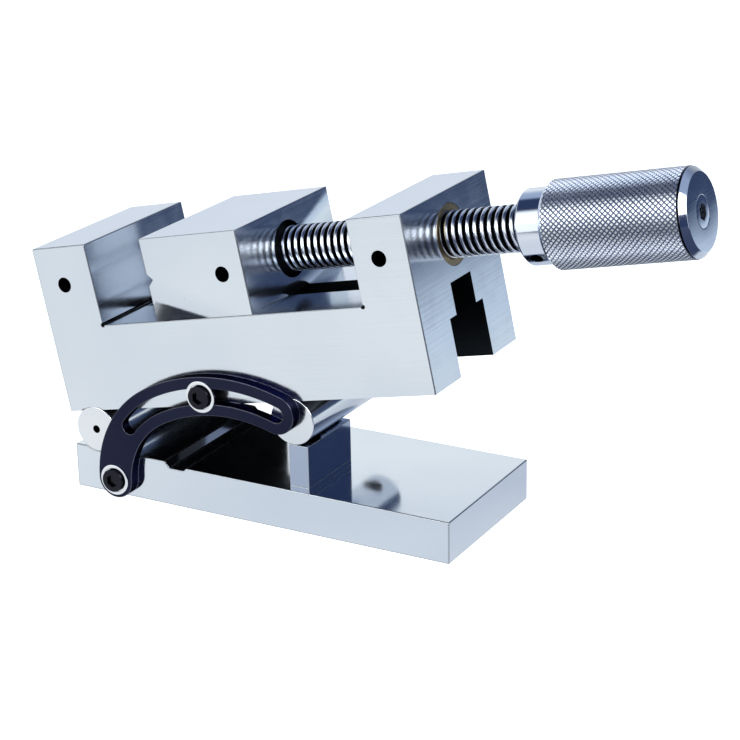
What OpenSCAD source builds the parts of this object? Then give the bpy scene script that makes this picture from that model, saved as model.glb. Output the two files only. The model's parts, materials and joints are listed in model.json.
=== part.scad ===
// Sine vise: a toolmaker's screw vise hinged on a base, with a locking link at the front.
// The vise is drawn flat in its own place, then tilted about the hinge roller.
// Its own place has the left end at x = 0, the middle of the width at y = 0 and its underside at z = 0.

/* [Vise body] */
// Width of the base, the vise body and the jaws
vise_w = 73; // [60:0.5:90]
// Length of the vise body
body_l = 180; // [160:1:220]
// Height of the vise body from underside to jaw tops
body_h = 72; // [64:0.5:90]
// Height of the bed above the underside
bed_h = 37; // [34:0.5:42]
// Length of the fixed jaw
fixed_jaw_l = 28; // [22:0.5:40]
// Thickness of the end wall that holds the nut
end_wall_l = 24.5; // [20:0.5:32]
// Width of the narrow part of the T-slot
slot_w = 17.5; // [14:0.5:22]
// Width of the wide part of the T-slot
slot_wide_w = 29; // [25:0.5:32]
// Height of the wide part of the T-slot
slot_step_h = 24; // [21:0.5:28]
// Radius of the relief grooves at the feet of the jaw faces
relief_r = 1; // [0.5:0.1:2]

/* [Tapped side holes] */
// Radius of the tapped holes in the front face
side_hole_r = 3.3; // [2.5:0.1:4.2]
// Depth of the open tapped hole in the fixed jaw
side_hole_depth = 18; // [10:1:30]
// Distance of the body's two holes from its ends
side_hole_in = 13; // [10:0.5:16]
// Height of those two holes above the screw's axis
side_hole_up = 1; // [0:0.1:1.5]

/* [Movable jaw] */
// Length of the movable jaw
jaw_l = 48; // [42:0.5:60]
// Opening between the jaws as drawn
jaw_gap = 28; // [0.5:0.5:40]
// Width of the V groove along the movable jaw's face
vee_w = 5; // [3:0.5:8]
// Running clearance of the jaw on the bed and under the step
slide_gap = 0.03; // [0.02:0.01:0.1]
// Running clearance at each side of the tongue
tongue_gap = 0.04; // [0.02:0.01:0.1]
// Thickness of the hold-down plate
plate_t = 10; // [9:0.5:14]
// Inset of the tongue and plate from the jaw's two faces
tongue_in = 4; // [2:0.5:6]
// Side clearance of the hold-down plate in the wide slot
plate_gap = 0.5; // [0.2:0.1:1.5]

/* [Screw and nut] */
// Height of the screw's axis above the underside
axis_h = 54.5; // [52:0.5:57]
// Outer radius of the screw thread
thread_r = 9.5; // [8:0.1:10]
// Depth of the thread
thread_depth = 1.6; // [1:0.1:2.2]
// Pitch of the thread
thread_pitch = 3.175; // [2.5:0.025:4]
// Clearance of the screw in the nut
thread_gap = 0.05; // [0.03:0.01:0.1]
// Radius of the nut in the end wall
nut_r = 12.5; // [11.5:0.1:14]
// Radius of the recess round the screw in the movable jaw
recess_r = 12; // [11:0.1:14]
// Depth of that recess
recess_depth = 4; // [2:0.5:6]
// Radius of the screw's nose
nose_r = 7; // [6:0.1:7.5]
// Length of the nose inside its bore
nose_l = 16; // [14:0.5:20]
// Depth of the retaining groove in the nose
nose_groove_depth = 2; // [1:0.1:2.5]
// Radius of the tip of the retaining screw
dog_r = 2.4; // [1.5:0.1:2.8]
// Distance of the retaining screw from the jaw's back face
dog_in = 10.5; // [8.5:0.5:14]
// Running clearance of the nose and of the tip in its groove
nose_gap = 0.05; // [0.03:0.01:0.1]
// Radius of the thrust ball at the end of the nose
ball_r = 3; // [2:0.25:4]

/* [Handle] */
// Gap between the end wall and the handle's collar as drawn
handle_gap = 34.6; // [30:0.1:60]
// Radius of the smooth collar
collar_r = 15; // [13:0.5:17]
// Length of the smooth collar
collar_l = 10.7; // [8:0.1:16]
// Radius of the knurled barrel
barrel_r = 17.5; // [16:0.5:22]
// Length of the knurled barrel
barrel_l = 57.7; // [40:0.1:80]
// Length of the smooth rim at the end
rim_l = 2.5; // [1.5:0.5:5]
// Width of the bevel round the end face
rim_bevel = 2.5; // [1:0.5:4]
// Radius of the set screw in the collar
handle_screw_r = 2.5; // [1.5:0.1:3]
// Distance of that set screw from the collar's left face
handle_screw_in = 5.9; // [3.5:0.1:8]
// Angle of that set screw below the front
handle_screw_a = 42; // [0:1:360]
// Radius of the screw's tail inside the handle
tail_r = 6.25; // [5:0.25:7.5]
// Width across flats of the hexagon socket in the tail
tail_hex = 6; // [4:0.5:8]

/* [Base] */
// Length of the base
base_l = 180; // [160:1:220]
// Thickness of the base under the gauge blocks
base_t = 18; // [14:0.5:24]
// Length of the raised block under the hinge
hinge_block_l = 45.5; // [36:0.5:60]
// Depth of a roller's cradle groove in the base and in the vise body
cradle_depth = 1.5; // [1:0.1:3]
// Width of the relief groove beside the raised block
base_relief_w = 8; // [4:0.5:12]
// Depth of that relief groove
base_relief_depth = 1.3; // [0.5:0.1:3]

/* [Hinge and sine rollers] */
// Radius of both rollers
roller_r = 10; // [8:0.5:12]
// Distance between the roller axes
sine_l = 100; // [90:1:120]
// Distance of the hinge axis from the left end
hinge_in = 11.5; // [10:0.5:14]
// Running clearance of the hinge roller in the base's cradle
cradle_gap = 0.03; // [0.02:0.01:0.1]
// Radius of the pin through the hinge roller
hinge_pin_r = 1.75; // [1.5:0.25:2.5]
// Gap between the hinge pin's ends and the screws through the roller
hinge_pin_gap = 4; // [2:0.5:10]
// Outer radius of the eye round the hinge pin
eye_r = 4.6; // [4:0.1:6]
// Width of the eye
eye_w = 8; // [6:0.5:12]
// Running clearance of the eye on its pin
eye_gap = 0.04; // [0.02:0.01:0.1]
// Room round the eye in the roller's slot
eye_room = 0.4; // [0.2:0.1:1]
// Largest total tilt of the vise
tilt_max = 45; // [30:1:46]

/* [Gauge blocks] */
// Height of the upper gauge block
gauge_upper_h = 18; // [5:0.5:50]
// Height of the lower gauge block
gauge_lower_h = 2.5; // [1:0.5:10]
// Thickness of the gauge blocks along the base
gauge_t = 9; // [9:0.5:12]
// Depth of the gauge blocks across the base
gauge_w = 35; // [30:1:50]
// Distance of the gauge blocks' near side from the sine roller's axis, along the base
gauge_lead = 1.9; // [1:0.1:4]

/* [Locking link] */
// Thickness of the link
link_t = 5; // [3:0.5:8]
// Gap between the link and the front faces
link_gap = 0.1; // [0.05:0.05:0.5]
// Half the width of the link
link_half_w = 8.3; // [7:0.1:12]
// Centreline radius of the tight bend
link_bend_r = 42.5; // [38:0.5:50]
// Centreline radius of the wide bend
link_sweep_r = 76; // [70:0.5:90]
// Angle where the two bends meet
link_meet_a = 120; // [110:1:130]
// Angle of the link's far end on the wide bend
link_end_a = 73.5; // [70:0.5:80]
// Angle where the slot starts on the tight bend
link_slot_a = 143; // [135:1:160]
// Width of the slot
link_slot_w = 6.8; // [6.2:0.1:8]
// Shank radius of the link's screws
link_screw_r = 2.5; // [2:0.1:2.8]
// Running clearance of the link on its pivot screw
pivot_gap = 0.05; // [0.03:0.01:0.1]
// Pivot's distance from the left end of the base
pivot_in = 23.5; // [20:0.5:30]
// Pivot's height above the base's underside
pivot_h = 9; // [8:0.5:12]
// Clamp screw's distance from the left end of the vise body
clamp_in = 73.5; // [70:0.5:78]
// Clamp screw's height above the vise body's underside
clamp_h = 5.4; // [4:0.1:8]

/* [Screws] */
// Shank radius of an M6 screw
m6_r = 3; // [2.5:0.1:3.5]
// Head radius of an M6 screw
m6_head_r = 5; // [4.5:0.1:5.5]
// Head height of the M6 screws under the vise
m6_head_h = 6; // [4:0.5:6]
// Head height of the low M6 screws on the link
low_head_h = 2.1; // [1.8:0.1:4]
// Width across flats of the M6 sockets
m6_hex = 5; // [3:0.5:6]
// Shank radius of an M5 screw
m5_r = 2.5; // [2:0.1:3]
// Head radius of an M5 screw
m5_head_r = 4.25; // [3.5:0.05:5]
// Head height of an M5 screw
m5_head_h = 5; // [3:0.5:5]
// Width across flats of the M5 sockets
m5_hex = 4; // [3:0.5:5]
// Spacing of the M5 screws across the rollers
roller_screw_y = 51; // [46:1:58]
// Gap between a screw's shank and its hole
screw_gap = 0.02; // [0.01:0.01:0.1]
// Gap between a screw's head and its counterbore
head_gap = 0.3; // [0.1:0.05:0.6]
// Outer radius of the cup washers on the link
washer_r = 6.85; // [6.2:0.05:8]
// Height of the cup washers
washer_h = 0.9; // [0.7:0.1:2.5]
// Floor thickness of the cup washers
washer_floor = 0.4; // [0.3:0.05:0.6]

/* [Hidden] */
$fn = 64;
e = 1;                                     // how far a cut runs past a face

half_w = vise_w / 2;
front = -half_w;                           // front face of the base and the vise
hinge_x = hinge_in - base_l / 2;
hinge_z = base_t + roller_r;               // the rollers stand level when both rest on the base
gauge_h = gauge_upper_h + gauge_lower_h;
tilt = asin(gauge_h / sine_l);
body_z = roller_r - cradle_depth;          // the underside's height above the roller axes
sine_x = hinge_in + sine_l;                // the sine roller's place along the vise body
gauge_x = hinge_x + sine_l * cos(tilt) - gauge_lead;  // the blocks stand under the sine roller
wall_x = body_l - end_wall_l;
jaw_x = fixed_jaw_l + jaw_gap;
jaw_back = jaw_x + jaw_l;
wall_hole_x = body_l - side_hole_in;
side_hole_h = axis_h + side_hole_up;
set_screw_l = 8;
nut_spot_depth = 1;
nut_spot_y = -nut_r + nut_spot_depth;
hex_depth = 2.4;                           // depth of the hexagon sockets
handle_hex = 2.5;

// screw
nose_end = jaw_back - recess_depth - nose_l;
dog_x = jaw_back - dog_in;
root_r = thread_r - thread_depth;
collar_x = body_l + handle_gap;
barrel_x = collar_x + collar_l;
rim_x = barrel_x + barrel_l;
handle_end = rim_x + rim_l;
thread_x = jaw_back;                       // the thread runs from the jaw's back face to the collar
threads = floor((collar_x - thread_x) / thread_pitch);

// hinge
shank_room = m6_r + eye_room;              // half the width of the slot for the eye bolt's shank
hinge_pin_end = roller_screw_y / 2 - m5_r - hinge_pin_gap;
nut_h = 5;
nut_flats = 10;
nut_room_r = 7;
nut_room_h = 7;
eye_bolt_low = 1.2;                        // the eye bolt ends this far above the underside

// link
link_back = front - link_gap;
link_front = link_back - link_t;
pivot_x = pivot_in - base_l / 2;
bend_x = pivot_x + link_bend_r;            // the tight bend is centred level with the pivot
centre_shift = link_sweep_r - link_bend_r;
sweep_x = bend_x - centre_shift * cos(link_meet_a);
sweep_z = pivot_h - centre_shift * sin(link_meet_a);
clamp_u = clamp_in - hinge_in;             // the clamp screw's place from the hinge axis, untilted
clamp_v = clamp_h + body_z;
clamp_x = hinge_x + clamp_u * cos(tilt) - clamp_v * sin(tilt);
clamp_z = hinge_z + clamp_u * sin(tilt) + clamp_v * cos(tilt);
// the link swings on its pivot until the clamp screw stands on the middle of the slot
to_clamp = norm([clamp_x - pivot_x, clamp_z - pivot_h]);
to_sweep = norm([sweep_x - pivot_x, sweep_z - pivot_h]);
slot_turn = acos((to_clamp ^ 2 + to_sweep ^ 2 - link_sweep_r ^ 2) / (2 * to_clamp * to_sweep));
link_turn = atan2(clamp_z - pivot_h, clamp_x - pivot_x)
    - atan2(sweep_z - pivot_h, sweep_x - pivot_x) - slot_turn;
tap_depth = 12;

function sides(y) = [-y, y];

module hex_rod(flats, h) { cylinder(r = flats / sqrt(3), h = h, $fn = 6); }

// puts the vise from its own place onto the hinge, tilted
module on_hinge() {
    translate([hinge_x, 0, hinge_z]) rotate([0, -tilt, 0]) translate([-hinge_in, 0, body_z]) children();
}

// a block with its middle on y = 0
module block(x0, x1, w, z0, z1) { translate([x0, -w / 2, z0]) cube([x1 - x0, w, z1 - z0]); }

// a rod along X from x0 to x1, its axis at height z
module x_rod(r, x0, x1, z) { translate([x0, 0, z]) rotate([0, 90, 0]) cylinder(r = r, h = x1 - x0); }

// a rod along Y from y0 to y1
module y_rod(r, x, z, y0, y1) { translate([x, y1, z]) rotate([90, 0, 0]) cylinder(r = r, h = y1 - y0); }

// a socket head screw that stands head down with its head's underside on z = 0
module screw_up(shank_r, shank_l, head_r, head_h, flats) {
    deep = min(hex_depth, head_h * 2 / 3);  // a low head takes a shallower socket
    difference() {
        union() {
            translate([0, 0, -head_h]) cylinder(r = head_r, h = head_h);
            cylinder(r = shank_r, h = shank_l);
        }
        translate([0, 0, -head_h - e]) hex_rod(flats, deep + e);
    }
}

// the room for such a screw, its head open below
module screw_up_room(shank_r, shank_l, head_r, head_h) {
    cylinder(r = shank_r + screw_gap, h = shank_l);
    translate([0, 0, -head_h]) cylinder(r = head_r + head_gap, h = head_h);
}

// a headless set screw along Y, its socket toward the front
module set_screw(r, x, z, y0, y1, flats) {
    difference() {
        y_rod(r, x, z, y0, y1);
        translate([x, y0 + hex_depth, z]) rotate([90, 0, 0]) hex_rod(flats, hex_depth + e);
    }
}

// ---- base ----

module base_plate() {
    left = -base_l / 2;
    block_h = base_t + cradle_depth;
    floor_h = base_t - base_relief_depth;
    relief_x = left + hinge_block_l + cradle_depth + base_relief_depth;
    color("lightsteelblue") difference() {
        translate([0, half_w, 0]) rotate([90, 0, 0]) linear_extrude(vise_w) polygon([
            [left, 0], [-left, 0], [-left, base_t],
            [relief_x + base_relief_w, base_t],
            [relief_x + base_relief_w - base_relief_depth, floor_h],
            [relief_x, floor_h],
            [left + hinge_block_l, block_h], [left, block_h]]);
        y_rod(roller_r + cradle_gap, hinge_x, hinge_z, front - e, half_w + e);
        translate([hinge_x, 0, -e]) cylinder(r = m6_r + eye_room, h = block_h + 2 * e);
        translate([hinge_x, 0, -e]) cylinder(r = nut_room_r, h = nut_room_h + e);
        y_rod(link_screw_r + screw_gap, pivot_x, pivot_h, front - e, front + tap_depth);
    }
}

module hinge_eye_bolt() {
    color("dimgray") difference() {
        union() {
            y_rod(eye_r, hinge_x, hinge_z, -eye_w / 2, eye_w / 2);
            translate([hinge_x, 0, eye_bolt_low]) cylinder(r = m6_r, h = hinge_z - eye_bolt_low);
        }
        y_rod(hinge_pin_r + eye_gap, hinge_x, hinge_z, -eye_w / 2 - e, eye_w / 2 + e);
    }
}

module hinge_eye_nut() {
    color("dimgray") translate([hinge_x, 0, nut_room_h - nut_h]) difference() {
        hex_rod(nut_flats, nut_h);
        translate([0, 0, -e]) cylinder(r = m6_r + screw_gap, h = nut_h + 2 * e);
    }
}

// a low head screw through the link, with its head in a cup washer
module link_screw(x, z) {
    seat = link_front - washer_floor;
    translate([x, seat, z]) rotate([-90, 0, 0])
        screw_up(link_screw_r, front + tap_depth - e - seat, m6_head_r, low_head_h, m6_hex);
}

module link_washer(x, z) {
    difference() {
        y_rod(washer_r, x, z, link_front - washer_h, link_front);
        y_rod(link_screw_r + screw_gap, x, z, link_front - washer_h - e, link_front + e);
        y_rod(m6_head_r + head_gap, x, z, link_front - washer_h - e, link_front - washer_floor);
    }
}

module link_pivot_screw() { color("darkslategray") link_screw(pivot_x, pivot_h); }
module link_pivot_washer() { color("silver") link_washer(pivot_x, pivot_h); }

// ---- link ----

// points along an arc about a centre
function arc(cx, cz, r, a0, a1, steps = 24) =
    [for (i = [0 : steps]) let (a = a0 + (a1 - a0) * i / steps) [cx + r * cos(a), cz + r * sin(a)]];

// outline of a band that follows the two bends from start_a on the tight one to the far end
function band(start_a, half) =
    let (
        sx = bend_x + link_bend_r * cos(start_a),
        sz = pivot_h + link_bend_r * sin(start_a),
        tx = sweep_x + link_sweep_r * cos(link_end_a),
        tz = sweep_z + link_sweep_r * sin(link_end_a)
    ) concat(
        arc(bend_x, pivot_h, link_bend_r + half, start_a, link_meet_a),
        arc(sweep_x, sweep_z, link_sweep_r + half, link_meet_a, link_end_a),
        arc(tx, tz, half, link_end_a, link_end_a - 180),
        arc(sweep_x, sweep_z, link_sweep_r - half, link_end_a, link_meet_a),
        arc(bend_x, pivot_h, link_bend_r - half, link_meet_a, start_a),
        arc(sx, sz, half, start_a + 180, start_a)
    );

module locking_link() {
    color("midnightblue")
        translate([pivot_x, link_back, pivot_h]) rotate([90, -link_turn, 0]) translate([-pivot_x, -pivot_h, 0])
            difference() {
                linear_extrude(link_t) polygon(band(180, link_half_w));
                translate([0, 0, -e]) linear_extrude(link_t + 2 * e) polygon(band(link_slot_a, link_slot_w / 2));
                translate([pivot_x, pivot_h, -e]) cylinder(r = link_screw_r + pivot_gap, h = link_t + 2 * e);
            }
}

// ---- vise body ----

module vise_body() {
    nut_bore = nut_r + screw_gap;
    color("lightsteelblue") difference() {
        on_hinge() difference() {
            union() {
                block(0, body_l, vise_w, 0, bed_h);
                block(0, fixed_jaw_l, vise_w, 0, body_h);
                block(wall_x, body_l, vise_w, 0, body_h);
            }
            block(fixed_jaw_l, body_l + e, slot_w, -e, bed_h);
            block(fixed_jaw_l, wall_x, slot_w, bed_h - e, bed_h + e);
            block(fixed_jaw_l, body_l + e, slot_wide_w, -e, slot_step_h);
            for (x = [fixed_jaw_l, wall_x]) y_rod(relief_r, x, bed_h, front - e, half_w + e);
            for (x = [hinge_in, sine_x]) {
                y_rod(roller_r + screw_gap, x, -body_z, front - e, half_w + e);
                for (y = sides(roller_screw_y / 2))
                    translate([x, y, -e]) cylinder(r = m5_r + screw_gap, h = tap_depth + 2 * e);
            }
            x_rod(nut_bore, wall_x - e, body_l + e, axis_h);
            y_rod(side_hole_r, side_hole_in, side_hole_h, front - e, front + side_hole_depth);
            y_rod(side_hole_r, wall_hole_x, side_hole_h, front - e, 0);
        }
        y_rod(link_screw_r + screw_gap, clamp_x, clamp_z, front - e, front + tap_depth);
    }
}

// both rollers lie along Y under the vise body
module roller(x) { y_rod(roller_r, x, -body_z, front, half_w); }

module roller_screws(x) {
    head_z = -body_z - roller_r + m5_head_h + 1;
    for (y = sides(roller_screw_y / 2))
        translate([x, y, head_z]) screw_up(m5_r, tap_depth - head_z, m5_head_r, m5_head_h, m5_hex);
}

module roller_screw_rooms(x) {
    head_z = -body_z - roller_r + m5_head_h + 1;
    for (y = sides(roller_screw_y / 2))
        translate([x, y, head_z]) screw_up_room(m5_r, tap_depth - head_z, m5_head_r, m5_head_h + 2 * e);
}

// the slot lets the eye bolt's shank swing from flat to the largest tilt
module eye_slot() {
    far = roller_r + 2;
    a = tilt_max + 2;
    translate([hinge_in, eye_w / 2 + eye_room, -body_z]) rotate([90, 0, 0])
        linear_extrude(eye_w + 2 * eye_room) polygon([
            [shank_room, 0], [shank_room, -far], [-far, -far],
            [-shank_room * cos(a) - far * sin(a), shank_room * sin(a) - far * cos(a)],
            [-shank_room * cos(a), shank_room * sin(a)]]);
    y_rod(eye_r + eye_room, hinge_in, -body_z, -eye_w / 2 - eye_room, eye_w / 2 + eye_room);
}

module hinge_roller() {
    color("gainsboro") on_hinge() difference() {
        roller(hinge_in);
        y_rod(hinge_pin_r + screw_gap, hinge_in, -body_z, front - e, half_w + e);
        eye_slot();
        roller_screw_rooms(hinge_in);
    }
}

module hinge_pin() {
    color("dimgray") on_hinge()
        y_rod(hinge_pin_r, hinge_in, -body_z, -hinge_pin_end, hinge_pin_end);
}

module sine_roller() {
    color("gainsboro") on_hinge() difference() {
        roller(sine_x);
        for (y = [front - e, half_w - 3])
            y_rod(hinge_pin_r, sine_x, -body_z, y, y + 3 + e);
        roller_screw_rooms(sine_x);
    }
}

module hinge_roller_screws() { color("dimgray") on_hinge() roller_screws(hinge_in); }
module sine_roller_screws() { color("dimgray") on_hinge() roller_screws(sine_x); }

module spindle_nut() {
    color("darkgoldenrod") on_hinge() difference() {
        x_rod(nut_r, wall_x, body_l, axis_h);
        x_rod(thread_r + thread_gap, wall_x - e, body_l + e, axis_h);
        y_rod(side_hole_r, wall_hole_x, side_hole_h, -nut_r - e, nut_spot_y);
    }
}

// the set screw's flat end presses on a spot cut in the nut
module nut_set_screw() {
    color("dimgray") on_hinge()
        set_screw(side_hole_r - screw_gap, wall_hole_x, side_hole_h, nut_spot_y - set_screw_l, nut_spot_y,
            m5_hex);
}

module link_clamp_screw() { color("darkslategray") link_screw(clamp_x, clamp_z); }
module link_clamp_washer() { color("silver") link_washer(clamp_x, clamp_z); }

// ---- movable jaw ----

module movable_jaw() {
    low = slot_step_h - slide_gap;
    color("lightsteelblue") on_hinge() difference() {
        union() {
            block(jaw_x, jaw_back, vise_w, bed_h + slide_gap, body_h);
            block(jaw_x + tongue_in, jaw_back - tongue_in, slot_w - 2 * tongue_gap, low, body_h - e);
        }
        translate([jaw_x, 0, axis_h]) rotate([0, 45, 0])
            cube([vee_w / sqrt(2), vise_w + 2 * e, vee_w / sqrt(2)], center = true);
        x_rod(recess_r, jaw_back - recess_depth, jaw_back + e, axis_h);
        x_rod(nose_r + nose_gap, nose_end, jaw_back, axis_h);
        x_rod(ball_r + screw_gap, nose_end - 2 * ball_r, nose_end + e, axis_h);
        y_rod(side_hole_r, dog_x, axis_h, front - e, 0);
        for (x = plate_screw_x())
            translate([x, 0, low - e]) cylinder(r = m6_r + screw_gap, h = tap_depth + 2 * e);
    }
}

function plate_screw_x() = [jaw_x + tongue_in + 7, jaw_back - tongue_in - 7];

module hold_down_plate() {
    top = slot_step_h - slide_gap;
    color("slategray") on_hinge() difference() {
        block(jaw_x + tongue_in, jaw_back - tongue_in, slot_wide_w - 2 * plate_gap, top - plate_t, top);
        for (x = plate_screw_x())
            translate([x, 0, top - plate_t + m6_head_h]) screw_up_room(m6_r, plate_t, m6_head_r, m6_head_h + e);
    }
}

module hold_down_screws() {
    head_z = slot_step_h - slide_gap - plate_t + m6_head_h;
    color("dimgray") on_hinge() for (x = plate_screw_x())
        translate([x, 0, head_z]) screw_up(m6_r, plate_t - m6_head_h + tap_depth, m6_head_r, m6_head_h, m6_hex);
}

// its tip stands in the groove of the nose and keeps the nose in the jaw
module retaining_screw() {
    back = -nose_r - 1;
    color("dimgray") on_hinge() {
        set_screw(side_hole_r - screw_gap, dog_x, axis_h, back - set_screw_l, back, m5_hex);
        y_rod(dog_r, dog_x, axis_h, back - e, -nose_r + nose_groove_depth - nose_gap);
    }
}

module thrust_ball() {
    color("gainsboro") on_hinge() translate([nose_end - ball_r, 0, axis_h]) sphere(r = ball_r);
}

// ---- screw and handle ----

module lead_screw() {
    flat = thread_pitch * 0.4;
    slope = thread_pitch * 0.1;
    // one thread ring after another, as radius against length
    rings = [for (i = [0 : threads - 1]) let (x = thread_x + i * thread_pitch)
        each [[root_r, x + slope], [thread_r, x + 2 * slope], [thread_r, x + 2 * slope + flat],
              [root_r, x + 3 * slope + flat]]];
    groove = nose_r - nose_groove_depth;
    groove_half = dog_r + nose_gap;
    start = nose_end + nose_gap;
    color("silver") on_hinge() difference() {
        translate([0, 0, axis_h]) rotate([0, 90, 0]) rotate_extrude() polygon(concat(
            [[0, start], [nose_r, start], [nose_r, dog_x - groove_half], [groove, dog_x - groove_half],
             [groove, dog_x + groove_half], [nose_r, dog_x + groove_half], [nose_r, thread_x]],
            rings,
            [[root_r, collar_x], [tail_r, collar_x], [tail_r, handle_end], [0, handle_end]]));
        translate([handle_end - 2 * tail_hex, 0, axis_h]) rotate([0, 90, 0]) hex_rod(tail_hex, 2 * tail_hex + e);
    }
}

module handle() {
    edge = 1.2;
    shoulder = 2;
    bore = tail_r + screw_gap;
    color("lightgray") on_hinge() difference() {
        translate([0, 0, axis_h]) rotate([0, 90, 0]) rotate_extrude() polygon([
            [bore, collar_x], [collar_r - edge, collar_x], [collar_r, collar_x + edge],
            [collar_r, barrel_x], [barrel_r - shoulder, barrel_x], [barrel_r, barrel_x + shoulder],
            [barrel_r, rim_x], [barrel_r - rim_bevel, handle_end], [bore, handle_end]]);
        turned() y_rod(handle_screw_r, collar_x + handle_screw_in, 0, -collar_r - e, 0);
    }
}

// turns what lies along Y onto the set screw's angle about the screw's axis
module turned() { translate([0, 0, axis_h]) rotate([handle_screw_a, 0, 0]) children(); }

module handle_set_screw() {
    low = 2;                               // its end lies this far below the collar's surface
    color("dimgray") on_hinge() turned()
        set_screw(handle_screw_r - screw_gap, collar_x + handle_screw_in, 0, low - collar_r, -tail_r, handle_hex);
}

// ---- gauge blocks ----

module gauge_block(z, h) {
    translate([gauge_x, front, z]) cube([gauge_t, gauge_w, h]);
}

module gauge_block_upper() { color("lavender") gauge_block(base_t + gauge_lower_h, gauge_upper_h); }
module gauge_block_lower() { color("lavender") gauge_block(base_t, gauge_lower_h); }

base_plate();
hinge_eye_bolt();
hinge_eye_nut();
link_pivot_screw();
link_pivot_washer();
vise_body();
hinge_roller();
hinge_pin();
hinge_roller_screws();
sine_roller();
sine_roller_screws();
spindle_nut();
nut_set_screw();
link_clamp_screw();
link_clamp_washer();
locking_link();
movable_jaw();
hold_down_plate();
hold_down_screws();
retaining_screw();
thrust_ball();
lead_screw();
handle();
handle_set_screw();
gauge_block_upper();
gauge_block_lower();
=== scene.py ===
import json
import math

import bmesh
import bpy
from bpy.props import FloatProperty, FloatVectorProperty, IntProperty, PointerProperty
from bpy.types import Operator, Panel, PropertyGroup
from mathutils import Matrix, Vector
from mathutils.bvhtree import BVHTree


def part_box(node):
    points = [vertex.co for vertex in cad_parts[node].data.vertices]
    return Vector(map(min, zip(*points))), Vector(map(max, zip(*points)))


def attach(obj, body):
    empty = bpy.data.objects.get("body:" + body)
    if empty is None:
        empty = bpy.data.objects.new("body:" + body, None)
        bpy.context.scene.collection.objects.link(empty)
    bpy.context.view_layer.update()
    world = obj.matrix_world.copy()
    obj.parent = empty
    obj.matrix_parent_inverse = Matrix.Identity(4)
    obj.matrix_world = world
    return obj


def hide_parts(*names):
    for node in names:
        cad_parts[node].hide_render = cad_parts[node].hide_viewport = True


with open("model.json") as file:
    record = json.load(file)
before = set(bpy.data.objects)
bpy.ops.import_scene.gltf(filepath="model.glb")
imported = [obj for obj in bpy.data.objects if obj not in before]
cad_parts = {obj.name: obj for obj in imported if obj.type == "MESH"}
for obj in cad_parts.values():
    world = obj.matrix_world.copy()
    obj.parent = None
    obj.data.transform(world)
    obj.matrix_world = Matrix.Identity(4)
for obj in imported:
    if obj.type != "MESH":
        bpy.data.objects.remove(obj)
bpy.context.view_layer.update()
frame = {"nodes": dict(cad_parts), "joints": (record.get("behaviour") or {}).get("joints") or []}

bl_info = {
    "name": "Sine vise",
    "version": (1, 0, 0),
    "blender": (4, 5, 0),
    "location": "3D View > Sidebar > Sine vise",
    "description": "Makes the finished pieces of a toolmaker's sine vise round its working frame",
    "category": "Object",
}

MM = 0.001
JOINTS = {joint["name"]: joint for joint in frame["joints"]}
ALONG = Vector(JOINTS["jaw_slide"]["axis"]).normalized()   # the vise's own length
TILT = math.atan2(ALONG.z, ALONG.x)
# the vise's own directions, measured from a point on the screw's line
OWN = Matrix.Translation(JOINTS["screw_turn"]["pos_m"]) @ Matrix.Rotation(-TILT, 4, "Y")


def own_box(node):
    """Lowest and highest corner of a CAD node in the vise's own directions."""
    back = OWN.inverted()
    points = [back @ vertex.co for vertex in frame["nodes"][node].data.vertices]
    return [Vector([pick(p[axis] for p in points) for axis in range(3)]) for pick in (min, max)]


SCREW_LOW, SCREW_HIGH = own_box("lead_screw")
HANDLE_LOW, HANDLE_HIGH = own_box("handle")
NUT_LOW, NUT_HIGH = own_box("spindle_nut")
JAW_HIGH = own_box("movable_jaw")[1]
SCREW_RATIO = 1978.956          # turn of the screw, in radians, for each metre that the jaw travels
BROKEN = math.radians(25)       # corners sharper than this are broken
PAINTED_SHADE_INDEX = 1                      # place of the steel painted dark for shade in recesses, among a piece's materials


# ---- node trees ----

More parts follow.
